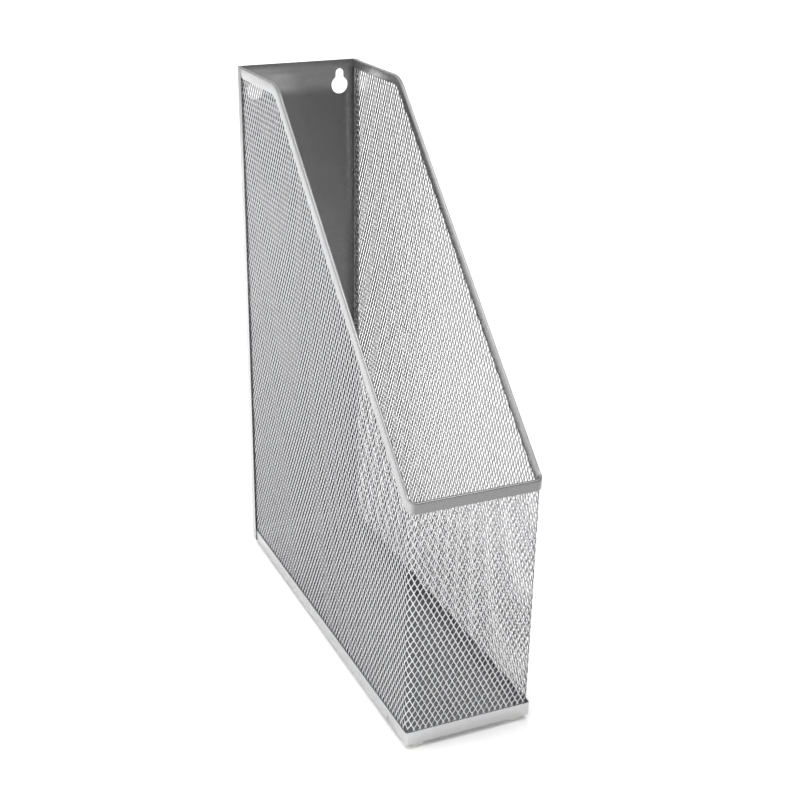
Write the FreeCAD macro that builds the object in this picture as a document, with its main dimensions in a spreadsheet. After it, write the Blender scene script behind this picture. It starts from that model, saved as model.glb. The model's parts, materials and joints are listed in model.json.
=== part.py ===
"""Wire-mesh magazine file: solid back and floor, a U of expanded mesh, a folded rim and four feet.

Frame: millimetres, +Z up, -Y the low front lip, +Y the back, X the width.
Origin: under the middle of the holder, at the level that the feet stand on.
"""
import FreeCAD, Part
import math
import os
import re

import Sketcher
from FreeCAD import Vector

SHEET_NAME = "Dims"

# Driving dimensions: alias, value in mm, meaning.
DIMENSIONS = [
    ("overall_width", 75.4, "outer width over rim and back plate"),
    ("overall_depth", 250.6, "front of the rim to the back of the back plate"),
    ("overall_height", 317.5, "floor to the level top run of the rim"),
    ("sheet_gauge", 0.5, "thickness of every solid steel sheet"),
    ("mesh_gauge", 0.5, "thickness over the expanded mesh"),
    ("mesh_inset", 1.0, "outer envelope to the outside of the mesh"),
    ("mesh_corner", 4.2, "outside radius of the mesh's two front bends"),
    ("mesh_top_gap", 0.4, "edge of the mesh to the web of the rim"),
    ("mesh_back_gap", 1.7, "edge of the mesh to the face of the back plate"),
    ("lip_height", 147.0, "floor to the top of the front lip"),
    ("rear_knee_radius", 18.0, "radius of the rim's upper knee"),
    ("rear_knee_reach", 60.1, "back of the holder to the upper knee's centre"),
    ("front_knee_radius", 9.5, "radius of the rim's lower knee, whose centre is over the front"),
    ("rim_width", 2.05, "width over the folded rim"),
    ("rim_outer_drop", 6.0, "depth of the rim's outer flange, square to its run"),
    ("rim_inner_drop", 5.0, "depth of the rim's inner flange, square to its run"),
    ("rim_tail_radius", 4.0, "rounding of the outer flange's two back ends"),
    ("rim_tail_gap", 0.2, "back plate's flange to the rim's outer flange"),
    ("flange_depth", 6.4, "depth of the back plate's two side flanges"),
    ("plate_bend", 1.0, "outside radius of the back plate's bends"),
    ("keyhole_inset", 10.6, "side of the holder to a keyhole's centre line"),
    ("keyhole_drop", 15.0, "top of the back plate to the centre of a keyhole's head"),
    ("keyhole_head", 5.2, "radius of a keyhole's round head"),
    ("keyhole_neck", 2.5, "half width of a keyhole's neck"),
    ("keyhole_rise", 7.2, "head centre to the centre of the neck's round end"),
    ("band_height", 7.8, "height of the base band"),
    ("band_corner", 1.5, "outside radius of the base band's corners"),
    ("seam_setback", 24.0, "front of the holder to the butt seam in the base band"),
    ("seam_width", 1.6, "gap of the butt seam at the foot of the band"),
    ("seam_weld", 1.6, "height of the weld that closes the seam's top"),
    ("tray_depth", 6.0, "height of the bottom plate's turned-up edge"),
    ("foot_height", 3.4, "height of a foot"),
    ("foot_radius", 6.7, "radius of a foot"),
    ("foot_round", 1.6, "rounding of a foot's lower edge"),
    ("foot_inset", 8.6, "side of the holder to a foot's centre"),
    ("foot_setback", 8.1, "front or back of the holder to a foot's centre"),
]

doc = FreeCAD.newDocument("magazine_file")


# ---------------------------------------------------------------- dimensions
def make_sheet():
    sheet = doc.addObject("Spreadsheet::Sheet", SHEET_NAME)
    for row, (alias, value, meaning) in enumerate(DIMENSIONS, start=1):
        sheet.set("A%d" % row, meaning)
        sheet.set("B%d" % row, str(value))
        sheet.setAlias("B%d" % row, alias)
    doc.recompute()
    return sheet


sheet = make_sheet()


def bound(formula):
    """A formula whose words are aliases, with each word written as a reference to the sheet."""
    return re.sub("[a-z_]+", lambda word: "%s.%s" % (SHEET_NAME, word.group()), formula)


def size(formula):
    """The formula's present value in millimetres."""
    return float(sheet.evalExpression(bound(formula)))


# ---------------------------------------------------------------- sketches
def plane_of(body, role):
    return next(item for item in body.Origin.OriginFeatures if item.Role == role)


def new_sketch(body, name, role):
    sketch = body.newObject("Sketcher::SketchObject", name)
    sketch.AttachmentSupport = (plane_of(body, role), [""])
    sketch.MapMode = "FlatFace"
    return sketch


def drive(sketch, name, constraint, formula):
    """Add a dimension to a sketch and bind it to the sheet."""
    index = sketch.addConstraint(constraint)
    sketch.renameConstraint(index, name)
    sketch.setExpression("Constraints.%s" % name, bound(formula))


def place_x(sketch, name, element, point, formula):
    drive(sketch, name, Sketcher.Constraint("DistanceX", -1, 1, element, point, size(formula)), formula)


def place_y(sketch, name, element, point, formula):
    drive(sketch, name, Sketcher.Constraint("DistanceY", -1, 1, element, point, size(formula)), formula)


def line_between(sketch, start, end):
    return sketch.addGeometry(Part.LineSegment(start, end), False)


def arc_about(sketch, centre, radius, first, last):
    """An arc that runs counter-clockwise from the first angle to the last, in degrees."""
    circle = Part.Circle(centre, Vector(0, 0, 1), radius)
    return sketch.addGeometry(Part.ArcOfCircle(circle, math.radians(first), math.radians(last)), False)


def tangent(sketch, first, first_point, second, second_point):
    sketch.addConstraint(Sketcher.Constraint("Tangent", first, first_point, second, second_point))


def chain(sketch, *elements):
    """Join each element's end to the next one's start."""
    for arriving, leaving in zip(elements, elements[1:]):
        sketch.addConstraint(Sketcher.Constraint("Coincident", arriving, 2, leaving, 1))


def level(sketch, *lines):
    for line in lines:
        sketch.addConstraint(Sketcher.Constraint("Horizontal", line))


def upright(sketch, *lines):
    for line in lines:
        sketch.addConstraint(Sketcher.Constraint("Vertical", line))


def square_outline(sketch, name, sides, radii=None):
    """Draw a closed outline of level and upright lines, with a radius at any corner.

    sides is a list of ("x", formula) and ("y", formula) in turn: an upright line at that x or a
    level line at that y. radii maps a side's index to the radius of the corner at its end.
    """
    radii = radii or {}
    count = len(sides)

    def corner(index):
        pair = dict((sides[index % count], sides[(index + 1) % count]))
        return Vector(size(pair["x"]), size(pair["y"]), 0)

    corners = [corner(index) for index in range(count)]
    rounds = [size(radii[index]) if index in radii else 0.0 for index in range(count)]
    lines = []
    for index in range(count):
        start, end = corners[index - 1], corners[index]
        along = (end - start).normalize()
        first = start + along * rounds[index - 1]
        last = end - along * rounds[index]
        lines.append(line_between(sketch, first, last))
    for index, (axis, formula) in enumerate(sides):
        keep_square, place = (upright, place_x) if axis == "x" else (level, place_y)
        keep_square(sketch, lines[index])
        place(sketch, "%s_side_%d" % (name, index), lines[index], 1, formula)
    for index in range(count):
        arriving, leaving = lines[index], lines[(index + 1) % count]
        if index not in radii:
            chain(sketch, arriving, leaving)
            continue
        round_corner(sketch, "%s_round_%d" % (name, index), arriving, leaving, radii[index],
                     corners[index - 1], corners[index], corners[(index + 1) % count])


def round_corner(sketch, name, arriving, leaving, formula, before, corner, after):
    """Join two lines with a tangent arc at their corner."""
    radius = size(formula)
    back = (before - corner).normalize()
    ahead = (after - corner).normalize()
    centre = corner + (back + ahead) * radius
    turns_left = back.cross(ahead).z < 0
    first_ray = -ahead if turns_left else -back
    first = math.degrees(math.atan2(first_ray.y, first_ray.x))
    arc = arc_about(sketch, centre, radius, first, first + 90)
    start, end = (1, 2) if turns_left else (2, 1)
    tangent(sketch, arriving, 2, arc, start)
    tangent(sketch, arc, end, leaving, 1)
    drive(sketch, name, Sketcher.Constraint("Radius", arc, radius), formula)


def side_profile(sketch, drop, closing_z):
    """Outline of all that lies beyond the rim's run, lowered square to it by drop.

    The run is level from the back, turns down at the upper knee and flattens out at the lower
    knee. closing_z is the level where the outline closes, above the run or below it.
    """
    rear_y, rear_z = "overall_depth / 2 - rear_knee_reach", "overall_height - rear_knee_radius"
    front_y, front_z = "-overall_depth / 2", "lip_height + front_knee_radius"
    rear_round = "rear_knee_radius - (%s)" % drop
    front_round = "front_knee_radius + (%s)" % drop
    back_end, front_end = "overall_depth / 2 + overall_width", "-overall_depth / 2 - overall_width"

    rear = Vector(size(rear_y), size(rear_z), 0)
    front = Vector(size(front_y), size(front_z), 0)
    apart = rear - front
    reach = size(rear_round) + size(front_round)
    slope = math.atan2(apart.y, apart.x) + math.asin(reach / apart.Length)
    normal = Vector(-math.sin(slope), math.cos(slope), 0)
    tilt = math.degrees(slope)

    top = rear + Vector(0, size(rear_round), 0)
    upper_touch = rear + normal * size(rear_round)
    lower_touch = front - normal * size(front_round)
    lip = front - Vector(0, size(front_round), 0)
    back_x, front_x, far = size(back_end), size(front_end), size(closing_z)

    level_back = line_between(sketch, Vector(back_x, top.y, 0), top)
    upper_knee = arc_about(sketch, rear, size(rear_round), 90, 90 + tilt)
    slant = line_between(sketch, upper_touch, lower_touch)
    lower_knee = arc_about(sketch, front, size(front_round), -90, -90 + tilt)
    level_lip = line_between(sketch, lip, Vector(front_x, lip.y, 0))
    front_side = line_between(sketch, Vector(front_x, lip.y, 0), Vector(front_x, far, 0))
    closing = line_between(sketch, Vector(front_x, far, 0), Vector(back_x, far, 0))
    back_side = line_between(sketch, Vector(back_x, far, 0), Vector(back_x, top.y, 0))

    level(sketch, level_back, level_lip, closing)
    upright(sketch, front_side, back_side)
    tangent(sketch, level_back, 2, upper_knee, 1)
    tangent(sketch, upper_knee, 2, slant, 1)
    tangent(sketch, slant, 2, lower_knee, 2)
    tangent(sketch, lower_knee, 1, level_lip, 1)
    chain(sketch, level_lip, front_side, closing, back_side, level_back)
    place_x(sketch, "rear_y", upper_knee, 3, rear_y)
    place_y(sketch, "rear_z", upper_knee, 3, rear_z)
    place_x(sketch, "front_y", lower_knee, 3, front_y)
    place_y(sketch, "front_z", lower_knee, 3, front_z)
    drive(sketch, "rear_round", Sketcher.Constraint("Radius", upper_knee, size(rear_round)), rear_round)
    drive(sketch, "front_round", Sketcher.Constraint("Radius", lower_knee, size(front_round)), front_round)
    place_x(sketch, "front_end", front_side, 1, front_end)
    place_x(sketch, "back_end", back_side, 1, back_end)
    place_y(sketch, "closing_z", closing, 1, closing_z)


# ---------------------------------------------------------------- features
def new_body(label):
    body = doc.addObject("PartDesign::Body", label)
    body.Label = label
    return body


def extrude(body, kind, name, sketch, length, both_ways=False, reverse=False):
    """Pad or pocket a sketch, and make sure that it changed the solid."""
    before = body.Shape.Volume if body.Tip else 0.0
    feature = body.newObject("PartDesign::%s" % kind, name)
    feature.Profile = sketch
    feature.SideType = "Symmetric" if both_ways else "One side"
    feature.Reversed = reverse
    feature.setExpression("Length", bound(length))
    doc.recompute()
    if abs(body.Shape.Volume - before) < 1e-3:
        raise RuntimeError("%s changed nothing in %s" % (name, body.Label))
    return feature


def lift(item, formula):
    """Raise an object to a height bound to the sheet."""
    item.setExpression("Placement.Base.z", bound(formula))


def u_wall(label, inset, gauge, corner, back_gap):
    """Upright wall round the left, front and right, from the feet to the overall height."""
    body = new_body(label)
    sketch = new_sketch(body, label + "_plan", "XY_Plane")
    half = "overall_width / 2 - (%s)" % inset
    front = "-overall_depth / 2 + (%s)" % inset
    back = "overall_depth / 2 - (%s)" % back_gap
    inner_half = "%s - (%s)" % (half, gauge)
    sides = [
        ("x", "-(%s)" % half), ("y", front), ("x", half), ("y", back),
        ("x", inner_half), ("y", "%s + (%s)" % (front, gauge)), ("x", "-(%s)" % inner_half), ("y", back),
    ]
    inner_corner = "%s - (%s)" % (corner, gauge)
    square_outline(sketch, "wall", sides, {0: corner, 1: corner, 4: inner_corner, 5: inner_corner})
    extrude(body, "Pad", label + "_upright", sketch, "overall_height - foot_height")
    lift(body, "foot_height")
    return body


def trim_to_run(body, drop, below=False):
    """Cut a wall away above the rim's run lowered by drop, or below it."""
    role = "below" if below else "above"
    sketch = new_sketch(body, "%s_%s_run" % (body.Label, role), "YZ_Plane")
    closing = "-overall_width" if below else "overall_height + overall_width"
    side_profile(sketch, drop, closing)
    sketch.setExpression("AttachmentOffset.Base.y", bound("-foot_height"))
    extrude(body, "Pocket", "%s_trim_%s" % (body.Label, role), sketch, "2 * overall_width", both_ways=True)


# ---------------------------------------------------------------- sub-parts
def make_mesh_wrap():
    """The U of expanded mesh as a plain sheet: its holes are too many and too fine for a solid."""
    body = u_wall("mesh_wrap", "mesh_inset", "mesh_gauge", "mesh_corner", "sheet_gauge + mesh_back_gap")
    trim_to_run(body, "sheet_gauge + mesh_top_gap")
    return body


def make_top_rim():
    """The channel folded over the mesh's upper edge, with a short inner flange."""
    corner = "mesh_corner + mesh_inset"
    rail = u_wall("rim_rail", "0", "rim_width", corner, "sheet_gauge")
    trim_to_run(rail, "0")
    trim_to_run(rail, "rim_outer_drop", below=True)

    slot = u_wall("rim_slot", "sheet_gauge", "rim_width - 2 * sheet_gauge", corner + " - sheet_gauge", "0")
    trim_to_run(slot, "sheet_gauge")

    hem = u_wall("rim_hem", "rim_width - sheet_gauge", "sheet_gauge + mesh_gauge",
                 corner + " - rim_width + sheet_gauge", "0")
    trim_to_run(hem, "rim_inner_drop")

    waste = doc.addObject("Part::MultiFuse", "rim_waste")
    waste.Shapes = [slot, hem] + [make_rim_tail(side) for side in (-1, 1)]
    rim = doc.addObject("Part::Cut", "top_rim")
    rim.Label = "top_rim"
    rim.Base = rail
    rim.Tool = waste
    return rim


def make_rim_tail(side):
    """What is cut from the rim's outer flange to let the back plate's flange in, on one side."""
    label = "rim_tail_left" if side < 0 else "rim_tail_right"
    body = new_body(label)
    sketch = new_sketch(body, label + "_side", "YZ_Plane")
    front = "overall_depth / 2 - flange_depth - rim_tail_gap"
    foot = "overall_height - rim_outer_drop"
    back = "overall_depth / 2 + flange_depth"
    top = "overall_height + flange_depth"
    front_y, foot_z, back_y, top_z = size(front), size(foot), size(back), size(top)
    radius = size("rim_tail_radius")

    front_side = line_between(sketch, Vector(front_y, top_z, 0), Vector(front_y, foot_z + radius, 0))
    rounding = arc_about(sketch, Vector(front_y - radius, foot_z + radius, 0), radius, -90, 0)
    foot_side = line_between(sketch, Vector(front_y - radius, foot_z, 0), Vector(back_y, foot_z, 0))
    back_side = line_between(sketch, Vector(back_y, foot_z, 0), Vector(back_y, top_z, 0))
    top_side = line_between(sketch, Vector(back_y, top_z, 0), Vector(front_y, top_z, 0))
    tangent(sketch, front_side, 2, rounding, 2)
    tangent(sketch, rounding, 1, foot_side, 1)
    chain(sketch, foot_side, back_side, top_side, front_side)
    upright(sketch, front_side, back_side)
    level(sketch, foot_side, top_side)
    place_x(sketch, "front", front_side, 1, front)
    place_y(sketch, "foot", foot_side, 1, foot)
    place_x(sketch, "back", back_side, 1, back)
    place_y(sketch, "top", top_side, 1, top)
    drive(sketch, "rounding", Sketcher.Constraint("Radius", rounding, radius), "rim_tail_radius")
    extrude(body, "Pad", label + "_waste", sketch, "2 * (sheet_gauge + rim_tail_gap)", both_ways=True)
    body.setExpression("Placement.Base.x", bound("%d * overall_width / 2" % side))
    return body


def make_back_plate():
    """Full-height back with a flange bent forward down each side and two keyholes to hang it by."""
    body = new_body("back_plate")
    sketch = new_sketch(body, "back_plan", "XY_Plane")
    half = "overall_width / 2"
    back = "overall_depth / 2"
    front = "overall_depth / 2 - flange_depth"
    sides = [
        ("x", "-" + half), ("y", front), ("x", "-%s + sheet_gauge" % half), ("y", back + " - sheet_gauge"),
        ("x", half + " - sheet_gauge"), ("y", front), ("x", half), ("y", back),
    ]
    inner_bend = "plate_bend - sheet_gauge"
    square_outline(sketch, "plate", sides, {2: inner_bend, 3: inner_bend, 6: "plate_bend", 7: "plate_bend"})
    extrude(body, "Pad", "back_upright", sketch, "overall_height - foot_height")
    holes = new_sketch(body, "keyholes", "XZ_Plane")
    for side in (-1, 1):
        draw_keyhole(holes, side)
    extrude(body, "Pocket", "keyhole_cut", holes, "2 * overall_depth", both_ways=True)
    lift(body, "foot_height")
    return body


def draw_keyhole(sketch, side):
    """A round head that a screw head passes, with a narrow neck above it."""
    name = "left" if side < 0 else "right"
    middle = "%d * (overall_width / 2 - keyhole_inset)" % side
    level = "overall_height - foot_height - keyhole_drop"
    head = Vector(size(middle), size(level), 0)
    radius, half_neck = size("keyhole_head"), size("keyhole_neck")
    end = head + Vector(0, size("keyhole_rise"), 0)
    meet = math.sqrt(radius ** 2 - half_neck ** 2)
    opening = math.degrees(math.asin(half_neck / radius))

    bowl = arc_about(sketch, head, radius, 90 + opening, 450 - opening)
    right_wall = line_between(sketch, head + Vector(half_neck, meet, 0), end + Vector(half_neck, 0, 0))
    crown = arc_about(sketch, end, half_neck, 0, 180)
    left_wall = line_between(sketch, end - Vector(half_neck, 0, 0), head + Vector(-half_neck, meet, 0))
    chain(sketch, left_wall, bowl, right_wall)
    tangent(sketch, right_wall, 2, crown, 1)
    tangent(sketch, crown, 2, left_wall, 1)
    upright(sketch, right_wall, left_wall)
    place_x(sketch, name + "_middle", bowl, 3, middle)
    place_y(sketch, name + "_level", bowl, 3, level)
    place_x(sketch, name + "_neck_middle", crown, 3, middle)
    place_y(sketch, name + "_neck_end", crown, 3, level + " + keyhole_rise")
    drive(sketch, name + "_head", Sketcher.Constraint("Radius", bowl, radius), "keyhole_head")
    drive(sketch, name + "_neck", Sketcher.Constraint("Radius", crown, half_neck), "keyhole_neck")


def make_base_band():
    """The strip round the foot of the mesh, its ends butted on the left and joined by a weld."""
    body = new_body("base_band")
    sketch = new_sketch(body, "band_plan", "XY_Plane")
    for name, inset in (("outer", "sheet_gauge"), ("inner", "2 * sheet_gauge")):
        corner = "band_corner - (%s - sheet_gauge)" % inset
        square_outline(sketch, name, [
            ("x", "-overall_width / 2 + " + inset), ("y", "-overall_depth / 2 + " + inset),
            ("x", "overall_width / 2 - " + inset), ("y", "overall_depth / 2 - " + inset),
        ], {index: corner for index in range(4)})
    extrude(body, "Pad", "band_upright", sketch, "band_height")
    seam = new_sketch(body, "seam_side", "YZ_Plane")
    draw_seam(seam)
    cut = extrude(body, "Pocket", "seam_cut", seam, "overall_width")
    if body.Shape.Volume < cut.BaseFeature.Shape.Volume * 0.98:
        raise RuntimeError("the seam cuts both sides of the band")
    lift(body, "foot_height")
    return body


def draw_seam(sketch):
    """A wedge-shaped gap, open at the foot of the band and closed by the weld at its top."""
    middle = "-overall_depth / 2 + seam_setback"
    top = "band_height - seam_weld"
    foot_left = Vector(size(middle + " - seam_width / 2"), 0, 0)
    foot_right = Vector(size(middle + " + seam_width / 2"), 0, 0)
    apex = Vector(size(middle), size(top), 0)
    foot = line_between(sketch, foot_left, foot_right)
    right = line_between(sketch, foot_right, apex)
    left = line_between(sketch, apex, foot_left)
    chain(sketch, foot, right, left, foot)
    for end in (1, 2):
        sketch.addConstraint(Sketcher.Constraint("PointOnObject", foot, end, -1))
    place_x(sketch, "foot_left", foot, 1, middle + " - seam_width / 2")
    place_x(sketch, "foot_right", foot, 2, middle + " + seam_width / 2")
    place_x(sketch, "apex_y", left, 1, middle)
    place_y(sketch, "apex_z", left, 1, top)


def make_bottom_plate():
    """A shallow tray: the floor, with an edge turned up all round inside the mesh."""
    body = new_body("bottom_plate")
    side_inset = "mesh_inset + mesh_gauge"
    corner = "mesh_corner - mesh_gauge"
    for kind, name, extra in (("Pad", "tray_outer", "0"), ("Pocket", "tray_hollow", "sheet_gauge")):
        sketch = new_sketch(body, name, "XY_Plane")
        square_outline(sketch, name, [
            ("x", "-overall_width / 2 + %s + %s" % (side_inset, extra)),
            ("y", "-overall_depth / 2 + %s + %s" % (side_inset, extra)),
            ("x", "overall_width / 2 - (%s) - %s" % (side_inset, extra)),
            ("y", "overall_depth / 2 - 2 * sheet_gauge - %s" % extra),
        ], {0: "%s - %s" % (corner, extra), 1: "%s - %s" % (corner, extra)})
        if kind == "Pocket":
            sketch.setExpression("AttachmentOffset.Base.z", bound("sheet_gauge"))
        extrude(body, kind, name + "_step", sketch, "tray_depth", reverse=kind == "Pocket")
    lift(body, "foot_height")
    return body


def make_foot(label, side, end):
    """A round stick-on bumper: flat top and sole, rounded lower edge."""
    body = new_body(label)
    sketch = new_sketch(body, label + "_section", "XZ_Plane")
    radius, height, rounding = size("foot_radius"), size("foot_height"), size("foot_round")
    sole = line_between(sketch, Vector(0, 0, 0), Vector(radius - rounding, 0, 0))
    edge = arc_about(sketch, Vector(radius - rounding, rounding, 0), rounding, -90, 0)
    wall = line_between(sketch, Vector(radius, rounding, 0), Vector(radius, height, 0))
    top = line_between(sketch, Vector(radius, height, 0), Vector(0, height, 0))
    axis = line_between(sketch, Vector(0, height, 0), Vector(0, 0, 0))
    tangent(sketch, sole, 2, edge, 1)
    tangent(sketch, edge, 2, wall, 1)
    chain(sketch, wall, top, axis, sole)
    level(sketch, sole, top)
    upright(sketch, wall, axis)
    sketch.addConstraint(Sketcher.Constraint("Coincident", sole, 1, -1, 1))
    place_x(sketch, "radius", wall, 1, "foot_radius")
    place_y(sketch, "height", top, 1, "foot_height")
    drive(sketch, "rounding", Sketcher.Constraint("Radius", edge, rounding), "foot_round")
    turned = body.newObject("PartDesign::Revolution", label + "_turned")
    turned.Profile = sketch
    turned.ReferenceAxis = (sketch, ["V_Axis"])
    turned.Angle = 360
    body.setExpression("Placement.Base.x", bound("%d * (overall_width / 2 - foot_inset)" % side))
    body.setExpression("Placement.Base.y", bound("%d * (overall_depth / 2 - foot_setback)" % end))
    return body


# ---------------------------------------------------------------- checks and files
def check_document():
    for item in doc.Objects:
        faults = [state for state in item.State if state in ("Invalid", "Error")]
        if faults:
            raise RuntimeError("%s is %s" % (item.Label, ", ".join(faults)))
        if item.TypeId == "Sketcher::SketchObject" and not item.FullyConstrained:
            raise RuntimeError("%s is not fully constrained" % item.Label)


def write_parts(parts):
    for part in parts:
        shape = part.Shape
        if shape.isNull() or not shape.isValid() or len(shape.Solids) != 1:
            raise RuntimeError("%s is not one valid solid" % part.Label)
    os.makedirs("parts", exist_ok=True)
    for part in parts:
        part.Shape.exportStep("parts/%s.step" % part.Label)
        box = part.Shape.BoundBox
        print("%-18s %9.1f mm3  x %7.2f..%7.2f  y %7.2f..%7.2f  z %6.2f..%6.2f" % (
            part.Label, part.Shape.Volume, box.XMin, box.XMax, box.YMin, box.YMax, box.ZMin, box.ZMax))


parts = [make_back_plate(), make_mesh_wrap(), make_top_rim(), make_base_band(), make_bottom_plate()]
for end_name, end in (("front", -1), ("rear", 1)):
    for side_name, side in (("left", -1), ("right", 1)):
        parts.append(make_foot("foot_%s_%s" % (end_name, side_name), side, end))

doc.recompute()
check_document()
write_parts(parts)
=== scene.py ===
"""Looks of the wire-mesh magazine file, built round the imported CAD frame.

Every length is in millimetres until to_metres() turns it into the frame's metres.
A sheet part is drawn as a flat pattern (u along it, v across it), bent into place and given its gauge.
"""

import json
import math

import bmesh
import bpy
import numpy as np
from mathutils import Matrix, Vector
from mathutils.geometry import delaunay_2d_cdt

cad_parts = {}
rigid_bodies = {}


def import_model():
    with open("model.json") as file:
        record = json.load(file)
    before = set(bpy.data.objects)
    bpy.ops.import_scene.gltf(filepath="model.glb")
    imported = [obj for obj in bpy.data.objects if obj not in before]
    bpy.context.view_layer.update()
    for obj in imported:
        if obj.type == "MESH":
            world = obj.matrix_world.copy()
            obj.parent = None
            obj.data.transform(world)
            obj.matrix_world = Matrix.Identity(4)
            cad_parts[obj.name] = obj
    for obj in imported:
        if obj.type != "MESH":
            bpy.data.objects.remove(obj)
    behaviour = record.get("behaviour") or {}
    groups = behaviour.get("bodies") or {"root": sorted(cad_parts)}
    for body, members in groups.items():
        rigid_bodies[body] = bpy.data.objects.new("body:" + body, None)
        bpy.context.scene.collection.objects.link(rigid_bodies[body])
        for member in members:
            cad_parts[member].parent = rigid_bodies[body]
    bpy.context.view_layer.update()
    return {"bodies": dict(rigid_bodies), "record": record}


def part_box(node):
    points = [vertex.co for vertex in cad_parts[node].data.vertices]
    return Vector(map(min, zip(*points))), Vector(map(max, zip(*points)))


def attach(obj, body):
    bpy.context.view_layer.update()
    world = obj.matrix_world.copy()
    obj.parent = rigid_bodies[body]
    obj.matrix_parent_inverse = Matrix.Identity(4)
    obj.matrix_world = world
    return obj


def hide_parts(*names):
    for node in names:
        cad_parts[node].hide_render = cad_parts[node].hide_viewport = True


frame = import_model()

MM = 0.001
BODY = next(iter(frame["bodies"]))
QUARTER_TURN = math.pi / 2


def node_box(node):
    """Lowest and highest corners of a CAD node, in millimetres."""
    low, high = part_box(node)
    return np.array(low) / MM, np.array(high) / MM


# ---------------------------------------------------------------- sizes
RIM_LOW, RIM_HIGH = node_box("top_rim")
PLATE_LOW, PLATE_HIGH = node_box("back_plate")
MESH_LOW, MESH_HIGH = node_box("mesh_wrap")
BAND_LOW, BAND_HIGH = node_box("base_band")
TRAY_LOW, TRAY_HIGH = node_box("bottom_plate")

HALF_WIDTH = RIM_HIGH[0]
GAUGE = HALF_WIDTH - BAND_HIGH[0]
MESH_GAUGE = MESH_HIGH[0] - TRAY_HIGH[0]
FRONT = RIM_LOW[1]
BACK = PLATE_HIGH[1]
TOP = RIM_HIGH[2]

MESH_CORNER = 4.2  # outside radius of the mesh's two corners
RIM_SLACK = 0.05  # between the mesh and the rim's inner flange
RIM_WIDTH = HALF_WIDTH - TRAY_HIGH[0] + GAUGE + RIM_SLACK
RIM_CORNER = MESH_CORNER + HALF_WIDTH - MESH_HIGH[0]
RIM_OUTER_DROP = 6.0
RIM_INNER_DROP = 5.0
RIM_FOLD = 0.5  # radius of the middle of the sheet in the rim's two folds
RIM_TAIL_ROUND = 4.0
RIM_EASE = 0.02  # lowers the rim, so that its bevelled edges stay inside the CAD's box
LIP = RIM_LOW[2] + RIM_OUTER_DROP

UPPER_KNEE_RADIUS = 18.0
UPPER_KNEE_SETBACK = 60.1
UPPER_KNEE = (BACK - UPPER_KNEE_SETBACK, TOP - UPPER_KNEE_RADIUS)
LOWER_KNEE_RADIUS = 9.5
LOWER_KNEE = (FRONT, LIP + LOWER_KNEE_RADIUS)

CELL_WIDTH = 3.44
CELL_HEIGHT = 6.15
CELL_LEAN = 0.0407  # sideways run of the lattice's columns for each millimetre of height
BOND_HALF_WIDTH = 0.38
BOND_HALF_HEIGHT = 0.80
STRAND_WAISTS = {1: 0.74, -1: 0.64}  # width at mid strand over width at its ends, by which way it leans
STRAND_GAUGE = 0.34
STRAND_TILT = 0.07
STRAND_WOBBLE = (0.045, 0.05, 0.05)  # along the wall, in height and in depth
WOBBLE_PLACES = 997
OPENING_SHADE_ATTRIBUTE = "painted_opening_shade"  # mask of painted shade on the slit sides of strands: 1 where an opening is widest, 0 at its two tips

EDGE_EASE = 0.14  # bevel of a sheared edge
RIM_EDGE_EASE = 0.12


# ---------------------------------------------------------------- places
class Wall:
    """An upright sheet bent round two corners. s runs along its outer face from the middle."""

    def __init__(self, half_width, face, corner, inward=1):
        self.face = face
        self.corner = corner
        self.inward = inward
        self.flat = half_width - corner
        self.turn = corner * QUARTER_TURN

    def place(self, s, depth, z):
        """Points at distance s along the wall, depth inside its outer face and height z."""
        s, depth, z = np.broadcast_arrays(np.asarray(s, float), depth, z)
        reach = np.abs(s)
        angle = np.clip((reach - self.flat) / self.corner, 0, QUARTER_TURN)
        along = np.maximum(reach - self.flat - self.turn, 0)
        radius = self.corner - depth
        x = np.sign(s) * (np.minimum(reach, self.flat) + radius * np.sin(angle))
        y = self.face + self.inward * (self.corner - radius * np.cos(angle) + along)
        return np.stack([x, y, z], -1)

    def s_at(self, y):
        """Distance along the wall to where its straight side passes y."""
        return self.flat + self.turn + self.inward * (y - self.face) - self.corner

    def bends(self, steps):
        """The values of s that divide the two corners."""
        one = [self.flat + self.turn * k / steps for k in range(steps + 1)]
        return [-s for s in reversed(one)] + one


class Run:
    """The rim's line in the side view: level, upper knee, slant, lower knee, level lip."""

    def __init__(self, drop=0.0):
        self.rear = UPPER_KNEE_RADIUS - drop
        self.front = LOWER_KNEE_RADIUS + drop
        apart = (UPPER_KNEE[0] - LOWER_KNEE[0], UPPER_KNEE[1] - LOWER_KNEE[1])
        reach = UPPER_KNEE_RADIUS + LOWER_KNEE_RADIUS
        self.slope = math.atan2(apart[1], apart[0]) + math.asin(reach / math.hypot(*apart))
        self.top_y = UPPER_KNEE[0] - math.sin(self.slope) * self.rear
        self.top_z = UPPER_KNEE[1] + math.cos(self.slope) * self.rear
        self.foot_y = LOWER_KNEE[0] + math.sin(self.slope) * self.front

    def height(self, y):
        y = np.asarray(y, float)
        upper = UPPER_KNEE[1] + np.sqrt(np.maximum(self.rear ** 2 - (y - UPPER_KNEE[0]) ** 2, 0))
        slant = self.top_z + (y - self.top_y) * math.tan(self.slope)
        lower = LOWER_KNEE[1] - np.sqrt(np.maximum(self.front ** 2 - (y - LOWER_KNEE[0]) ** 2, 0))
        level = UPPER_KNEE[1] + self.rear
        stretches = [y >= UPPER_KNEE[0], y >= self.top_y, y >= self.foot_y]
        return np.select(stretches, [level, upper, slant], lower)

    def stations(self, steps):
        """Values of y that divide the two knees."""
        turns = [self.slope * k / steps for k in range(steps + 1)]
        upper = [UPPER_KNEE[0] - self.rear * math.sin(a) for a in turns]
        lower = [LOWER_KNEE[0] + self.front * math.sin(a) for a in turns]
        return upper + lower


def to_metres(points):
    return (np.asarray(points, float) * MM).tolist()


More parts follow.
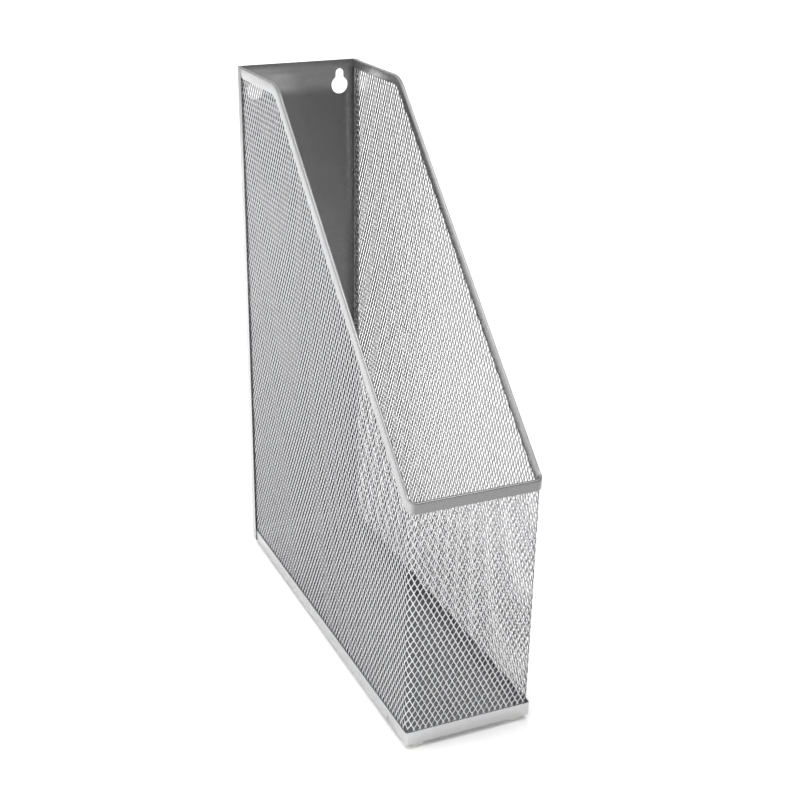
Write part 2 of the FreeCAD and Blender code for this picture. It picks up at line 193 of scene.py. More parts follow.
# ---------------------------------------------------------------- pieces
def add_piece(name, mesh, node, material, sharp=40.0):
    """Put a finished mesh in the scene as a piece that stands for a CAD node."""
    mesh.materials.append(material)
    mesh.shade_smooth()
    mesh.set_sharp_from_angle(angle=math.radians(sharp))
    piece = bpy.data.objects.new(name, mesh)
    bpy.context.scene.collection.objects.link(piece)
    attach(piece, BODY)
    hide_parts(node)


def solid_mesh(name, points, faces):
    mesh = bpy.data.meshes.new(name)
    mesh.from_pydata(to_metres(points), [], [list(map(int, face)) for face in faces])
    mesh.validate()
    return mesh


def inside(rings, points):
    """Which points lie inside the outer ring and outside the holes."""
    odd = np.zeros(len(points), bool)
    for ring in rings:
        a = np.array(ring, float)
        b = np.roll(a, -1, 0)
        px, py = points[:, :1], points[:, 1:]
        spans = (a[:, 1] > py) != (b[:, 1] > py)
        rise = np.where(a[:, 1] == b[:, 1], 1.0, b[:, 1] - a[:, 1])
        crossing = a[:, 0] + (py - a[:, 1]) * (b[:, 0] - a[:, 0]) / rise
        odd ^= (np.sum(spans & (px < crossing), 1) % 2).astype(bool)
    return odd


def cut_pattern(rings, u_lines, v_lines=()):
    """Triangles of a flat pattern, split along its bend lines. The first ring is its outline."""
    merge_distance = 1e-4
    points, edges = [], []
    for ring in rings:
        first = len(points)
        points += ring
        edges += [(first + k, first + (k + 1) % len(ring)) for k in range(len(ring))]
    outline = np.array(rings[0])
    (u_low, v_low), (u_high, v_high) = outline.min(0), outline.max(0)
    lines = [((u, v_low), (u, v_high)) for u in u_lines if u_low < u < u_high]
    lines += [((u_low, v), (u_high, v)) for v in v_lines if v_low < v < v_high]
    for start, end in lines:
        edges.append((len(points), len(points) + 1))
        points += [start, end]
    found = delaunay_2d_cdt([Vector(p) for p in points], edges, [], 0, merge_distance)
    flat = np.array([tuple(p) for p in found[0]])
    triangles = np.array([face for face in found[2]])
    return flat, triangles[inside(rings, flat[triangles].mean(1))]


def bend_sheet(name, pattern, place, gauge, easing):
    """Solid mesh of a flat pattern put in place by place(u, v, depth), its cut edges eased."""
    flat, triangles = pattern
    outer = place(flat[:, 0], flat[:, 1], 0.0)
    inner = place(flat[:, 0], flat[:, 1], gauge)
    _, first, same = np.unique(np.round(outer, 3), axis=0, return_index=True, return_inverse=True)
    triangles = same.reshape(-1)[triangles]
    outer, inner = outer[first], inner[first]
    sides = np.concatenate([triangles[:, [0, 1]], triangles[:, [1, 2]], triangles[:, [2, 0]]])
    key = np.sort(sides, 1)
    _, where, times = np.unique(key, axis=0, return_inverse=True, return_counts=True)
    rim = sides[times[where.reshape(-1)] == 1]

    shape = bmesh.new()
    layers = [[shape.verts.new(p) for p in to_metres(layer)] for layer in (outer, inner)]
    for a, b, c in triangles:
        shape.faces.new([layers[0][a], layers[0][b], layers[0][c]])
        shape.faces.new([layers[1][c], layers[1][b], layers[1][a]])
    for a, b in rim:
        shape.faces.new([layers[0][b], layers[0][a], layers[1][a], layers[1][b]])
    bmesh.ops.recalc_face_normals(shape, faces=shape.faces)
    sharp = [shape.edges.get((layer[a], layer[b])) for layer in layers for a, b in rim]
    bmesh.ops.bevel(shape, geom=sharp, offset=easing * MM, offset_type="OFFSET", segments=2,
                    profile=0.5, affect="EDGES", clamp_overlap=True)
    mesh = bpy.data.meshes.new(name)
    shape.to_mesh(mesh)
    shape.free()
    return mesh


def arc(centre, radius, first, last, steps):
    """Points of an arc between two angles in degrees, both ends included."""
    turns = [math.radians(first + (last - first) * k / steps) for k in range(steps + 1)]
    return [(centre[0] + radius * math.cos(a), centre[1] + radius * math.sin(a)) for a in turns]


# ---------------------------------------------------------------- materials
def node_of(tree, kind, **settings):
    made = tree.nodes.new(kind)
    for name, value in settings.items():
        setattr(made, name, value)
    return made


def noise(tree, coordinates, scale, detail=3.0, roughness=0.5):
    """Noise at a number of features per metre."""
    made = node_of(tree, "ShaderNodeTexNoise")
    made.inputs["Scale"].default_value = scale
    made.inputs["Detail"].default_value = detail
    made.inputs["Roughness"].default_value = roughness
    tree.links.new(coordinates, made.inputs["Vector"])
    return made.outputs["Fac"]


def span(tree, value, low, high, to_low, to_high):
    """value brought from low..high to to_low..to_high."""
    made = node_of(tree, "ShaderNodeMapRange", clamp=True)
    for name, number in zip(("From Min", "From Max", "To Min", "To Max"), (low, high, to_low, to_high)):
        made.inputs[name].default_value = number
    tree.links.new(value, made.inputs["Value"])
    return made.outputs["Result"]


def mix(tree, factor, a, b, blend="MIX"):
    """Colour between a and b; each of the three is a socket or a value."""
    made = node_of(tree, "ShaderNodeMix", data_type="RGBA", blend_type=blend)
    for name, value in (("Factor", factor), ("A", a), ("B", b)):
        socket = next(s for s in made.inputs if s.name == name and s.enabled)
        if isinstance(value, bpy.types.NodeSocket):
            tree.links.new(value, socket)
        else:
            socket.default_value = value
    return next(s for s in made.outputs if s.enabled)


def math_node(tree, operation, a, b):
    """A sum or product of two sockets or numbers."""
    made = node_of(tree, "ShaderNodeMath", operation=operation)
    for socket, value in zip(made.inputs, (a, b)):
        if isinstance(value, bpy.types.NodeSocket):
            tree.links.new(value, socket)
        else:
            socket.default_value = value
    return made.outputs["Value"]


def darken(tree, where, colour, share):
    """colour, times share where the mask is 1."""
    return mix(tree, where, colour, mix(tree, 1.0, colour, (share,) * 3 + (1.0,), "MULTIPLY"))


def add_bump(tree, shader, height, strength, distance):
    """Bump of a strength, with its full height a distance in metres."""
    bump = node_of(tree, "ShaderNodeBump")
    bump.inputs["Strength"].default_value = strength
    bump.inputs["Distance"].default_value = distance
    tree.links.new(height, bump.inputs["Height"])
    tree.links.new(bump.outputs["Normal"], shader.inputs["Normal"])


def new_material(name):
    """A material, its node tree, its shader and the coordinates its patterns hang on."""
    material = bpy.data.materials.new(name)
    material.use_nodes = True
    tree = material.node_tree
    place = node_of(tree, "ShaderNodeTexCoord").outputs["Object"]
    return material, tree, tree.nodes["Principled BSDF"], place


def silver_paint(name, tone, metallic=0.95, roughness=0.30, peel=0.25, front_shade=1.0, opening_shade=1.0):
    """Satin silver paint: fine flakes, orange peel, faint rubs, and thin bright paint on edges.

    Its second-last argument darkens the faces that look to the front, a painted shade, and
    its last argument is painted shade on the slit sides of the mesh strands where an opening is widest.
    """
    cloud_scale, flake_scale, rub_scale, peel_scale = 28.0, 5200.0, 60.0, 900.0
    edge_wear, flake_bump, peel_height = 0.45, 0.35, 0.00006
    material, tree, shader, place = new_material(name)
    cloud = noise(tree, place, cloud_scale, 2.0)
    flakes = noise(tree, place, flake_scale, 1.0)
    rubs = noise(tree, place, rub_scale)
    pointiness = node_of(tree, "ShaderNodeNewGeometry").outputs["Pointiness"]
    edge = span(tree, pointiness, 0.50, 0.56, 0.0, 1.0)

    def shade(factor):
        return tuple(channel * factor for channel in tone) + (1.0,)

    colour = mix(tree, span(tree, cloud, 0.35, 0.65, 0.0, 1.0), shade(0.965), shade(1.03))
    colour = mix(tree, span(tree, flakes, 0.40, 0.62, 0.0, 0.55), colour, shade(1.16))
    colour = mix(tree, math_node(tree, "MULTIPLY", edge, edge_wear), colour, shade(1.22))
    facing = node_of(tree, "ShaderNodeSeparateXYZ")
    tree.links.new(node_of(tree, "ShaderNodeTexCoord").outputs["Normal"], facing.inputs["Vector"])
    # Painted shade: faces that look to the front are drawn darker by the share given.
    front_shade_mask = span(tree, facing.outputs["Y"], -0.9, -0.6, 1.0, 0.0)
    colour = darken(tree, front_shade_mask, colour, front_shade)
    # Painted shade on the strands' slit sides: darkest where an opening is widest, none at its tips.
    opening = node_of(tree, "ShaderNodeAttribute", attribute_name=OPENING_SHADE_ATTRIBUTE).outputs["Fac"]
    colour = darken(tree, span(tree, opening, 0.22, 0.70, 0.0, 1.0), colour, opening_shade)
    tree.links.new(colour, shader.inputs["Base Color"])

    rough = math_node(tree, "ADD", span(tree, rubs, 0.35, 0.70, -0.03, 0.03), roughness)
    rough = math_node(tree, "ADD", rough, span(tree, flakes, 0.35, 0.65, 0.05, -0.05))
    tree.links.new(rough, shader.inputs["Roughness"])
    shader.inputs["Metallic"].default_value = metallic

    height = noise(tree, place, peel_scale, 2.0)
    height = math_node(tree, "ADD", height, math_node(tree, "MULTIPLY", flakes, flake_bump))
    add_bump(tree, shader, height, peel, peel_height)
    return material


def clear_rubber(name, tone):
    """Soft grey-green stick-on bumper, a little clear and dusty on its edge."""
    dust_scale, dust_height, clear_depth = 420.0, 0.00008, 0.002
    material, tree, shader, place = new_material(name)
    dust = noise(tree, place, dust_scale, 4.0, 0.6)
    dark = tuple(0.86 * channel for channel in tone) + (1.0,)
    colour = mix(tree, span(tree, dust, 0.40, 0.65, 0.0, 1.0), dark, tuple(tone) + (1.0,))
    tree.links.new(colour, shader.inputs["Base Color"])
    tree.links.new(span(tree, dust, 0.3, 0.7, 0.30, 0.55), shader.inputs["Roughness"])
    shader.inputs["Subsurface Weight"].default_value = 0.35
    shader.inputs["Subsurface Radius"].default_value = (clear_depth, clear_depth, 0.9 * clear_depth)
    shader.inputs["Subsurface Scale"].default_value = 1.0
    add_bump(tree, shader, dust, 0.2, dust_height)
    return material


# ---------------------------------------------------------------- expanded mesh
# The lattice has a bond wherever column + row is even. A bond is a small diamond with corners
# N, W, S and E, and four strands leave its edges. An opening's tips are at N and S corners and
# its widest place is between an E corner and a W corner.
BOND_CORNERS = "NWSE"
BOND_SHAPE = {
    "N": (0.0, BOND_HALF_HEIGHT, 0.0),
    "S": (0.0, -BOND_HALF_HEIGHT, 0.0),
    "E": (BOND_HALF_WIDTH, 0.0, STRAND_TILT),
    "W": (-BOND_HALF_WIDTH, 0.0, -STRAND_TILT),
}
OPENING_AT = {"N": 0.0, "W": 1.0, "S": 0.0, "E": 1.0, "waist": 0.5}


def bond_place(column, row):
    """Distance along the wall and height of a bond's middle."""
    z = MESH_LOW[2] + row * CELL_HEIGHT / 2
    return column * CELL_WIDTH / 2 + CELL_LEAN * (z - MESH_LOW[2]), z


def bond_corner(column, row, corner, wobble):
    """A corner of the bond at a lattice place: distance along the wall, height and lift inwards."""
    s = column * CELL_WIDTH / 2
    z = MESH_LOW[2] + row * CELL_HEIGHT / 2
    ds, dz, lift = BOND_SHAPE[corner]
    key = (column * 73 + row * 179) % len(wobble)
    s, z = s + ds + wobble[key, 0], z + dz + wobble[key, 1]
    return np.stack([s + CELL_LEAN * (z - MESH_LOW[2]), z, lift + wobble[key, 2]], -1)


def lattice(s_low, s_high):
    """Columns and rows of every bond that might touch the stretch of wall."""
    margin = 2
    lean = CELL_LEAN * (TOP - MESH_LOW[2])
    first = math.floor((s_low - lean) / (CELL_WIDTH / 2)) - margin
    last = math.ceil(s_high / (CELL_WIDTH / 2)) + margin
    top = math.ceil((TOP - MESH_LOW[2]) / (CELL_HEIGHT / 2)) + margin
    grids = np.meshgrid(np.arange(first, last + 1), np.arange(-margin, top + 1), indexing="ij")
    column, row = [grid.ravel() for grid in grids]
    bonded = (column + row) % 2 == 0
    return column[bonded], row[bonded]


def trimmed(holds, begin, finish, first_in, last_in):
    """Shares of each strand at which it starts and ends, where the sheet's edge cuts it."""
    shortest = 0.08
    low, high = np.zeros(len(first_in)), np.ones(len(first_in))
    for _ in range(14):
        middle = (low + high) / 2
        there = holds(*[a + (b - a) * middle for a, b in zip(begin, finish)])
        same = there == first_in
        low, high = np.where(same, middle, low), np.where(same, high, middle)
    start = np.where(first_in, 0.0, np.clip(high, 0.0, 1 - shortest))
    end = np.where(last_in, 1.0, np.clip(low, shortest, 1.0))
    return start, end


def strand_sections(edges, waist_share, shares):
    """Points on both edges of the strands at each of three shares of their length."""
    middle_line = sum(edge_end for edge in edges for edge_end in edge) / 4
    sections = []
    for share in shares:
        for a, b in edges:
            waist = middle_line + waist_share * ((a + b) / 2 - middle_line)
            t = share[:, None]
            before = a + (waist - a) * np.minimum(2 * t, 1)
            after = waist + (b - waist) * np.clip(2 * t - 1, 0, 1)
            sections.append(np.where(t < 0.5, before, after))
    return np.stack(sections)


def flat_mesh(holds, column, row, wobble):
    """Points, faces, cut edges and how open the mesh is at each point, for bonds and strands."""
    kept = holds(*bond_place(column, row))
    kept_places = zip(column[kept].tolist(), row[kept].tolist())
    index = {place: number for number, place in enumerate(kept_places)}
    bonds = len(index)

    bond_points = [bond_corner(column[kept], row[kept], corner, wobble) for corner in BOND_CORNERS]
    points = [np.stack(bond_points, 1).reshape(-1, 3)]
    faces = [np.arange(4 * bonds).reshape(-1, 4)]
    opening = [np.tile([OPENING_AT[corner] for corner in BOND_CORNERS], bonds)]
    count = 4 * bonds
    cuts = []

    for lean_way, start_pair, end_pair in ((1, "NE", "WS"), (-1, "WN", "SE")):
        first_in = kept
        last_in = holds(*bond_place(column + lean_way, row + 1))
        used = first_in | last_in
        first_in, last_in = first_in[used], last_in[used]
        c0, r0 = column[used], row[used]
        c1, r1 = c0 + lean_way, r0 + 1
        start, end = trimmed(holds, bond_place(c0, r0), bond_place(c1, r1), first_in, last_in)
        edges = [(bond_corner(c0, r0, a, wobble), bond_corner(c1, r1, b, wobble))
                 for a, b in zip(start_pair, end_pair)]
        sections = strand_sections(edges, STRAND_WAISTS[lean_way], (start, (start + end) / 2, end))

        strands = len(c0)
        own = count + np.arange(6 * strands).reshape(6, strands)
        ids = own.copy()
        ends = ((0, start_pair, c0, r0, first_in), (4, end_pair, c1, r1, last_in))
        for position, pair, columns, rows, present in ends:
            numbers = np.array([index.get(place, -1) for place in zip(columns.tolist(), rows.tolist())])
            for step in (0, 1):
                shared = 4 * numbers + BOND_CORNERS.index(pair[step])
                ids[position + step] = np.where(present, shared, own[position + step])
        points.append(sections.reshape(-1, 3))
        corners = (*start_pair, "waist", "waist", *end_pair)
        opening.append(np.repeat([OPENING_AT[corner] for corner in corners], strands))
        count += 6 * strands
        for k in (0, 2):
            left0, right0, left1, right1 = ids[k], ids[k + 1], ids[k + 2], ids[k + 3]
            faces.append(np.stack([left0, right0, right1, left1], 1))
            cuts.append(np.stack([left0, left1], 1))
            cuts.append(np.stack([right1, right0], 1))
        cuts.append(np.stack([ids[1], ids[0]], 1)[~first_in])
        cuts.append(np.stack([ids[4], ids[5]], 1)[~last_in])

    points, faces, cuts = np.concatenate(points), np.concatenate(faces), np.concatenate(cuts)
    used = np.unique(faces)
    renumber = np.full(len(points), -1)
    renumber[used] = np.arange(len(used))
    return points[used], renumber[faces], renumber[cuts], np.concatenate(opening)[used]


def expanded_mesh(name, wall, s_low, s_high, wobble):
    """Strands and bonds of the sheet between two places along the wall, as one closed mesh."""
    below_fold = 0.5
    press_height, least_press = 3.0, 0.35
    under_rim = Run(GAUGE + below_fold)

    def holds(s, z):
        y = wall.place(s, 0.0, 0.0)[..., 1]
        return (s >= s_low) & (s <= s_high) & (z >= MESH_LOW[2]) & (z <= under_rim.height(y))

    points, faces, cuts, opening = flat_mesh(holds, *lattice(s_low, s_high), wobble)
    pressed = np.clip((points[:, 1] - BAND_HIGH[2]) / press_height, least_press, 1.0)
    depth = MESH_GAUGE / 2 + points[:, 2] * pressed
    layers = [wall.place(points[:, 0], depth + step * STRAND_GAUGE / 2, points[:, 1]) for step in (-1, 1)]
    total = len(points)
    inward = faces[:, ::-1] + total
    sides = np.stack([cuts[:, 0], cuts[:, 1], cuts[:, 1] + total, cuts[:, 0] + total], 1)
    mesh = solid_mesh(name, np.concatenate(layers), np.concatenate([faces, inward, sides]))

    # The slit sides carry the mask for painted shade, 1 where an opening is widest.
    vertices = np.empty(len(mesh.loops), int)
    mesh.loops.foreach_get("vertex_index", vertices)
    on_side = np.repeat([0.0, 1.0], [8 * len(faces), 4 * len(sides)])
    painted_opening_shade = mesh.attributes.new(OPENING_SHADE_ATTRIBUTE, "FLOAT", "CORNER")
    painted_opening_shade.data.foreach_set("value", on_side * np.tile(opening, 2)[vertices])
    return mesh


def make_mesh_wrap(material):
    """The one sheet of expanded mesh, made in three pieces that meet on its two sides."""
    front_part_depth = 60.0
    wall = Wall(MESH_HIGH[0], MESH_LOW[1], MESH_CORNER)
    random = np.random.default_rng(7)
    wobble = random.uniform(-1, 1, (WOBBLE_PLACES, 3)) * np.array(STRAND_WOBBLE)
    back = wall.s_at(MESH_HIGH[1])
    split = wall.s_at(MESH_LOW[1] + front_part_depth)
    for side, low, high in (("left", -back, -split), ("front", -split, split), ("right", split, back)):
        name = "mesh_%s" % side
        add_piece(name, expanded_mesh(name, wall, low, high, wobble), "mesh_wrap", material, sharp=85.0)


# ---------------------------------------------------------------- rim
class Channel:
    """Section of the folded rim. v runs over it from the outer flange's edge to the inner one's."""

    def __init__(self):
        self.outer = RIM_OUTER_DROP - GAUGE / 2 - RIM_FOLD
        self.bend = RIM_FOLD * QUARTER_TURN
        self.web = RIM_WIDTH - GAUGE - 2 * RIM_FOLD
        self.inner = RIM_INNER_DROP - GAUGE / 2 - RIM_FOLD
        self.length = self.outer + self.web + self.inner + 2 * self.bend

    def place(self, v, depth):
        """Distance in from the rim's outer face, and drop below its run."""
        first = np.clip((v - self.outer) / RIM_FOLD, 0, QUARTER_TURN)
        second = np.clip((v - self.outer - self.bend - self.web) / RIM_FOLD, 0, QUARTER_TURN)
        across = np.clip(v - self.outer - self.bend, 0, self.web)
        down_in = np.maximum(v - (self.length - self.inner), 0)
        up = np.minimum(v, self.outer)
        a = GAUGE / 2 + RIM_FOLD * (1 - np.cos(first)) + across + RIM_FOLD * np.sin(second)
        b = RIM_OUTER_DROP - up - RIM_FOLD * np.sin(first) + RIM_FOLD * (1 - np.cos(second)) + down_in
        turn = first + second
        out = GAUGE / 2 - depth
        return a - out * np.cos(turn), b - out * np.sin(turn)

    def folds(self, steps):
        starts = (self.outer, self.outer + self.bend + self.web)
        return [start + self.bend * k / steps for start in starts for k in range(steps + 1)]


def make_top_rim(material):
    """The folded channel over the mesh's upper edge. Its outer flange ends just before the back plate."""
    wall = Wall(HALF_WIDTH, FRONT, RIM_CORNER)
    channel = Channel()
    run = Run()
    half_step = 0.01
    tail_gap, fold_share = 0.2, 0.9

    def height(s):
        return run.height(wall.place(s, 0.0, 0.0)[..., 1])

    def place(u, v, depth):
        across, drop = channel.place(v, depth)
        rise = (height(u + half_step) - height(u - half_step)) / (2 * half_step)
        length = np.sqrt(1 + rise ** 2)
        drop = drop + RIM_EASE
        return wall.place(u + drop * rise / length, across, height(u) - drop / length)

    end = wall.s_at(RIM_HIGH[1])
    tail = wall.s_at(PLATE_LOW[1] - tail_gap)
    notch = channel.outer + channel.bend * fold_share
    round_centre = (tail - RIM_TAIL_ROUND, RIM_TAIL_ROUND)
    right = arc(round_centre, RIM_TAIL_ROUND, -90, 0, 8)
    right += [(tail, notch), (end, notch), (end, channel.length)]
    outline = right + [(-u, v) for u, v in reversed(right)]
    sides = [wall.s_at(y) for y in run.stations(14) if y > FRONT + RIM_CORNER]
    stations = wall.bends(10) + sides + [-s for s in sides]
    pattern = cut_pattern([outline], sorted(stations), channel.folds(4))
    sheet = bend_sheet("top_rim_fold", pattern, place, GAUGE, RIM_EDGE_EASE)
    add_piece("top_rim_fold", sheet, "top_rim", material)


# ---------------------------------------------------------------- back plate
def keyhole(centre_u, centre_v, radius):
    """Outline of a round head with a narrow neck above it, the two joined by small fillets."""
    half_neck = 2.5
    rise = 7.2
    fillet = 1.0
    level = math.sqrt((radius + fillet) ** 2 - (half_neck + fillet) ** 2)
    meet = math.degrees(math.atan2(level, half_neck + fillet))
    ring = arc((0, 0), radius, meet, -180 - meet, 44)
    ring += arc((-half_neck - fillet, level), fillet, -meet, 0, 5)
    ring += arc((0, rise), half_neck, 180, 0, 16)
    ring += arc((half_neck + fillet, level), fillet, 180, 180 + meet, 5)
    return [(centre_u + u, centre_v + v) for u, v in ring]


def make_back_plate(material):
    """The full-height plate with its two flanges, and a keyhole at each bore that the record gives."""
    bend = 1.0
    wall = Wall(PLATE_HIGH[0], BACK, bend, inward=-1)
    end = wall.s_at(PLATE_LOW[1])
    low, high = PLATE_LOW[2], PLATE_HIGH[2]
    outline = [(-end, low), (end, low), (end, high), (-end, high)]
    holes = []
    for mount in frame["record"]["mounts"]:
        if mount["kind"] == "bore":
            x, z = mount["pos_m"][0] / MM, mount["pos_m"][2] / MM
            holes.append(keyhole(x, z, mount["dims"]["r_mm"]))
    pattern = cut_pattern([outline] + holes, wall.bends(6))

    def place(u, v, depth):
        return wall.place(u, depth, v)

    sheet = bend_sheet("back_plate_sheet", pattern, place, GAUGE, EDGE_EASE)
    add_piece("back_plate_sheet", sheet, "back_plate", material)


# ---------------------------------------------------------------- base band
class Loop:
    """A closed upright strip round a rounded rectangle. s runs from a start on its left side."""

    def __init__(self, half_width, front, back, corner, start_y):
        self.half_width = half_width
        self.corner = corner
        self.middle = (front + back) / 2
        self.half_depth = (back - front) / 2
        self.start = start_y - front - corner
        self.turn = corner * QUARTER_TURN
        across, along = 2 * (half_width - corner), 2 * (self.half_depth - corner)
        self.straights = (across, along, across, along)
        self.length = sum(self.straights) + 4 * self.turn

    def marks(self, steps):
        """The values of s that divide the four corners."""
        found = []
        at = self.start
        for straight in self.straights:
            found += [at + self.turn * k / steps for k in range(steps + 1)]
            at += self.turn + straight
        return found

    def place(self, s, depth, z):
        """Counter-clockwise from above: down the left side to the front, then along the front."""
        s = np.asarray(s, float) - self.start
        points = np.zeros(s.shape + (3,))
        points[..., 2] = z
        at = 0.0
        radius = self.corner - depth
        corners = [(-1, -1, 180), (1, -1, 270), (1, 1, 0), (-1, 1, 90)]
        for (side_x, side_y, first), straight in zip(corners, self.straights):
            centre_x = side_x * (self.half_width - self.corner)
            centre_y = self.middle + side_y * (self.half_depth - self.corner)
            in_turn = (s >= at) & (s < at + self.turn)
            angle = np.radians(first) + (s - at) / self.corner
            points[in_turn, 0] = (centre_x + radius * np.cos(angle))[in_turn]
            points[in_turn, 1] = (centre_y + radius * np.sin(angle))[in_turn]

            before_start = (s < 0) & (side_x < 0 < side_y)
            in_straight = (s >= at + self.turn) & (s < at + self.turn + straight)
            in_straight |= before_start
            last = np.radians(first + 90)
            along = np.where(s < 0, straight + s, s - at - self.turn)
            points[in_straight, 0] = (centre_x + radius * np.cos(last) - along * np.sin(last))[in_straight]
            points[in_straight, 1] = (centre_y + radius * np.sin(last) + along * np.cos(last))[in_straight]
            at += self.turn + straight
        return points


def make_base_band(material):
    """The strip round the foot of the mesh. Its ends leave a wedge-shaped seam under the weld."""
    setback, gap, weld, corner = 24.0, 1.6, 1.6, 1.5
    loop = Loop(BAND_HIGH[0], BAND_LOW[1], BAND_HIGH[1], corner, FRONT + setback)
    low, high = BAND_LOW[2], BAND_HIGH[2]
    outline = [(gap / 2, low), (loop.length - gap / 2, low), (loop.length, high - weld),
               (loop.length, high), (0.0, high), (0.0, high - weld)]
    pattern = cut_pattern([outline], loop.marks(6))

    def place(u, v, depth):
        return loop.place(np.mod(u, loop.length), depth, v)

    sheet = bend_sheet("base_band_strip", pattern, place, GAUGE, EDGE_EASE)
    add_piece("base_band_strip", sheet, "base_band", material)


# ---------------------------------------------------------------- tray
def rounded_ring(low, high, inset, radii, z):
    """Corner-rounded rectangle, counter-clockwise from its front left corner."""
    smallest = 0.15
    (x0, y0), (x1, y1) = low[:2] + inset, high[:2] - inset
    corners = [(x0, y0, 1, 1, 180), (x1, y0, -1, 1, 270), (x1, y1, -1, -1, 0), (x0, y1, 1, -1, 90)]
    ring = []
    for (x, y, way_x, way_y, first), radius in zip(corners, radii):
        round_by = max(radius - inset, smallest)
        centre = (x + round_by * way_x, y + round_by * way_y)
        ring += [(px, py, z) for px, py in arc(centre, round_by, first, first + 90, 8)]
    return ring


def make_bottom_plate(material):
    """A shallow pan: floor, a small bend all round and an upright edge."""
    bend, eased, rear_corner = 1.0, 0.15, 0.8
    low, high = TRAY_LOW, TRAY_HIGH
    height = high[2] - low[2]
    outer_turns = np.linspace(0.2, QUARTER_TURN, 6)
    inner_turns = np.linspace(QUARTER_TURN, 0.0, 6)
    inner = bend - GAUGE
    section = [(bend, 0.0)]
    section += [(bend - bend * math.sin(a), bend - bend * math.cos(a)) for a in outer_turns]
    section += [(0.0, height - eased), (eased, height), (GAUGE - eased, height), (GAUGE, height - eased)]
    section += [(bend - inner * math.sin(a), bend - inner * math.cos(a)) for a in inner_turns]
    front_corner = MESH_CORNER - MESH_GAUGE
    radii = (front_corner, front_corner, rear_corner, rear_corner)
    rings = [rounded_ring(low, high, inset, radii, low[2] + rise) for inset, rise in section]
    count = len(rings[0])
    faces = [list(range(count))[::-1]]
    for k in range(len(rings) - 1):
        for n in range(count):
            m = (n + 1) % count
            faces.append([k * count + n, k * count + m, (k + 1) * count + m, (k + 1) * count + n])
    faces.append([(len(rings) - 1) * count + n for n in range(count)])
    mesh = solid_mesh("bottom_tray", [point for ring in rings for point in ring], faces)
    add_piece("bottom_tray", mesh, "bottom_plate", material)


# ---------------------------------------------------------------- feet
def make_foot(node, material):
    """A moulded bumper: slightly hollow sole, rounded lower edge and a soft upper edge."""
    low, high = node_box(node)
    centre = (low + high) / 2
    radius, height = (high[0] - low[0]) / 2, high[2] - low[2]
    round_by, hollow, sole_rim = 1.7, 0.12, 1.2
    profile = [(0.0, hollow), (radius - round_by - sole_rim, 0.0)]
    profile += [(radius - round_by + round_by * math.sin(a), round_by - round_by * math.cos(a))
                for a in np.linspace(0.0, QUARTER_TURN, 9)]
    upper_edge = [(0.0, 0.5), (0.18, 0.12), (0.5, 0.0), (radius, 0.0)]
    profile += [(radius - inset, height - drop) for inset, drop in upper_edge]
    turns = 56
    points, faces = [], []
    for r, z in profile[1:-1]:
        points += [(centre[0] + r * math.cos(a), centre[1] + r * math.sin(a), low[2] + z)
                   for a in np.linspace(0, 2 * math.pi, turns, endpoint=False)]
    rings = len(profile) - 2
    for k in range(rings - 1):
        for n in range(turns):
            m = (n + 1) % turns
            faces.append([k * turns + n, k * turns + m, (k + 1) * turns + m, (k + 1) * turns + n])
    for (r, z), k, turned in ((profile[0], 0, True), (profile[-1], rings - 1, False)):
        points.append((centre[0], centre[1], low[2] + z))
        for n in range(turns):
            pair = [k * turns + n, k * turns + (n + 1) % turns]
            faces.append((pair[::-1] if turned else pair) + [len(points) - 1])
    add_piece(node + "_bumper", solid_mesh(node + "_bumper", points, faces), node, material)


# ---------------------------------------------------------------- stage
def aim(thing, place, target):
    thing.location = place
    thing.rotation_euler = (Vector(target) - Vector(place)).to_track_quat("-Z", "Y").to_euler()


def area_light(name, place, target, size, power, mirrored=True):
    """A soft lamp. One that isn't mirrored lights the floor but leaves no glint on the metal."""
    data = bpy.data.lights.new(name, "AREA")
    data.shape = "RECTANGLE"
    data.size, data.size_y = size
    data.energy = power
    light = bpy.data.objects.new(name, data)
    light.visible_glossy = mirrored
    bpy.context.scene.collection.objects.link(light)
    aim(light, place, target)


def make_floor():
    """A wide, pale, matt studio floor."""
    material, tree, shader, place = new_material("studio_floor")
    colour = mix(tree, noise(tree, place, 3.0), (0.81, 0.81, 0.81, 1), (0.83, 0.83, 0.83, 1))
    tree.links.new(colour, shader.inputs["Base Color"])
    shader.inputs["Roughness"].default_value = 0.9
    shader.inputs["Specular IOR Level"].default_value = 0.1
    half = 9.0
    corners = [(-half, -half, 0), (half, -half, 0), (half, half, 0), (-half, half, 0)]
    mesh = bpy.data.meshes.new("studio_floor")
    mesh.from_pydata(corners, [], [(0, 1, 2, 3)])
    mesh.materials.append(material)
    floor = bpy.data.objects.new("studio_floor", mesh)
    bpy.context.scene.collection.objects.link(floor)


def make_camera():
    """The photograph's viewing angle: from the front left and above, with a slight lens shift."""
    turn, tilt = math.radians(22.415), math.radians(24.537)
    distance = 0.7644
    target = Vector((-0.0201, -0.0063, 0.1290))
    forward = Vector((math.sin(turn) * math.cos(tilt), math.cos(turn) * math.cos(tilt), -math.sin(tilt)))
    data = bpy.data.cameras.new("camera")
    data.lens = 60.52
    data.sensor_width = 36.0
    data.shift_x, data.shift_y = 0.0625, 0.0485
    data.clip_start, data.clip_end = 0.01, 50.0
    camera = bpy.data.objects.new("camera", data)
    bpy.context.scene.collection.objects.link(camera)
    aim(camera, target - forward * distance, target)
    bpy.context.scene.camera = camera


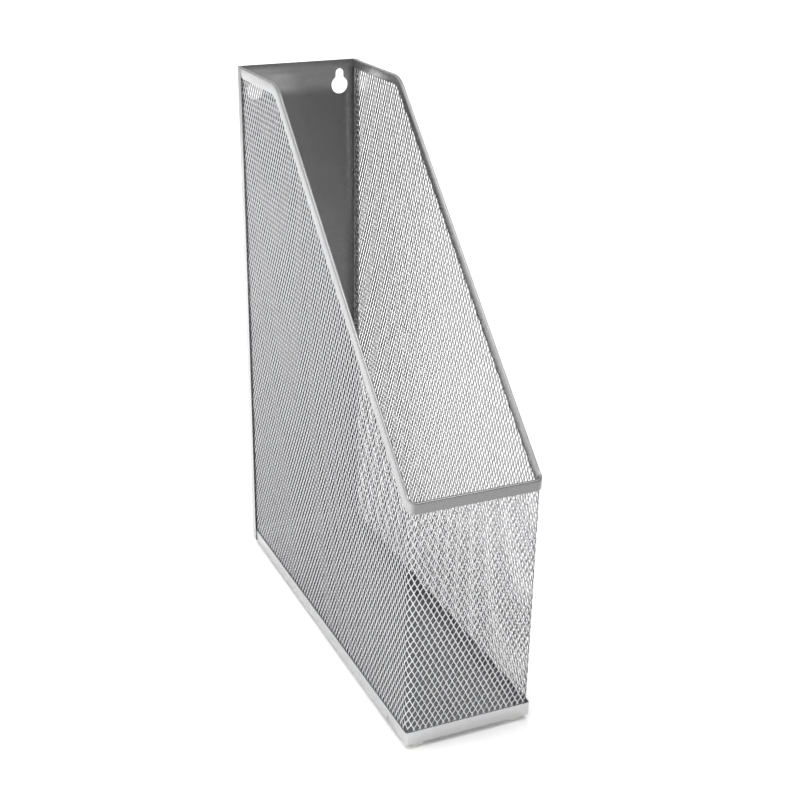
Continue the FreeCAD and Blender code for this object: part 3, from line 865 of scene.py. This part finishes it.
def make_tent(bright_side, dim, bright, horizon):
    """White light tent, bright towards one direction, dim away from it, and even at the horizon."""
    world = bpy.data.worlds.new("light_tent")
    world.use_nodes = True
    tree = world.node_tree
    direction = node_of(tree, "ShaderNodeTexCoord").outputs["Generated"]
    facing = node_of(tree, "ShaderNodeVectorMath", operation="DOT_PRODUCT")
    tree.links.new(direction, facing.inputs[0])
    facing.inputs[1].default_value = bright_side.normalized()
    sky = span(tree, facing.outputs["Value"], -0.35, 0.55, dim, bright)
    height = node_of(tree, "ShaderNodeSeparateXYZ")
    tree.links.new(direction, height.inputs["Vector"])
    wall = (horizon, horizon, horizon, 1.0)
    grey = mix(tree, span(tree, height.outputs["Z"], 0.08, 0.22, 0.0, 1.0), wall, sky)
    tree.links.new(grey, tree.nodes["Background"].inputs["Color"])
    bpy.context.scene.world = world


def make_lights():
    """Lamps that light the floor, two soft lamps that the metal mirrors, and the tent."""
    middle = (0.0, 0.0, 0.15)
    area_light("top_soft", (-0.6, 0.1, 2.2), (-0.2, 0.1, 0.0), (2.4, 2.4), 40.0, mirrored=False)
    for name, x, y, power in (("floor_rear", 0.2, 3.3, 95.0), ("floor_front", 1.8, -3.8, 50.0)):
        area_light(name, (x, y, 2.4), (x, y, 0.0), (3.0, 3.0), power, mirrored=False)
    area_light("floor_key", (-0.7, 1.0, 1.2), (-0.3, 0.6, 0.0), (0.9, 0.9), 7.0, mirrored=False)
    area_light("front_soft", (-0.4, -1.6, 0.3), (0.0, -0.15, 0.0), (1.8, 0.5), 18.0, mirrored=False)
    area_light("key_left", (-1.7, 0.0, 0.9), middle, (1.2, 1.2), 6.0)
    area_light("overhead_soft", (0.7, -0.5, 1.9), middle, (0.8, 0.8), 6.0)
    make_tent(Vector((-0.70, 0.30, 0.65)), 0.28, 0.78, 0.75)
    bpy.context.scene.view_settings.view_transform = "Standard"


make_camera()
make_lights()
make_floor()

# One silver paint in five copies whose tones are set part by part to match how bright each part looks: the
# tray's and the rim's darker tones are painted shade, and the band's lighter tone is painted light.
plate_paint = silver_paint("silver_plate", (0.45, 0.45, 0.455), front_shade=0.40)
mesh_paint = silver_paint("silver_mesh", (0.46, 0.46, 0.47), metallic=0.9, peel=0.15, opening_shade=0.06)
rim_paint = silver_paint("silver_rim", (0.38, 0.38, 0.385), front_shade=0.52)
band_paint = silver_paint("silver_band", (0.46, 0.46, 0.465))
floor_paint = silver_paint("silver_floor", (0.36, 0.363, 0.368), roughness=0.34)
rubber = clear_rubber("foot_bumper", (0.36, 0.37, 0.34))

make_back_plate(plate_paint)
make_mesh_wrap(mesh_paint)
make_top_rim(rim_paint)
make_base_band(band_paint)
make_bottom_plate(floor_paint)
for end in ("front", "rear"):
    for side in ("left", "right"):
        make_foot("foot_%s_%s" % (end, side), rubber)
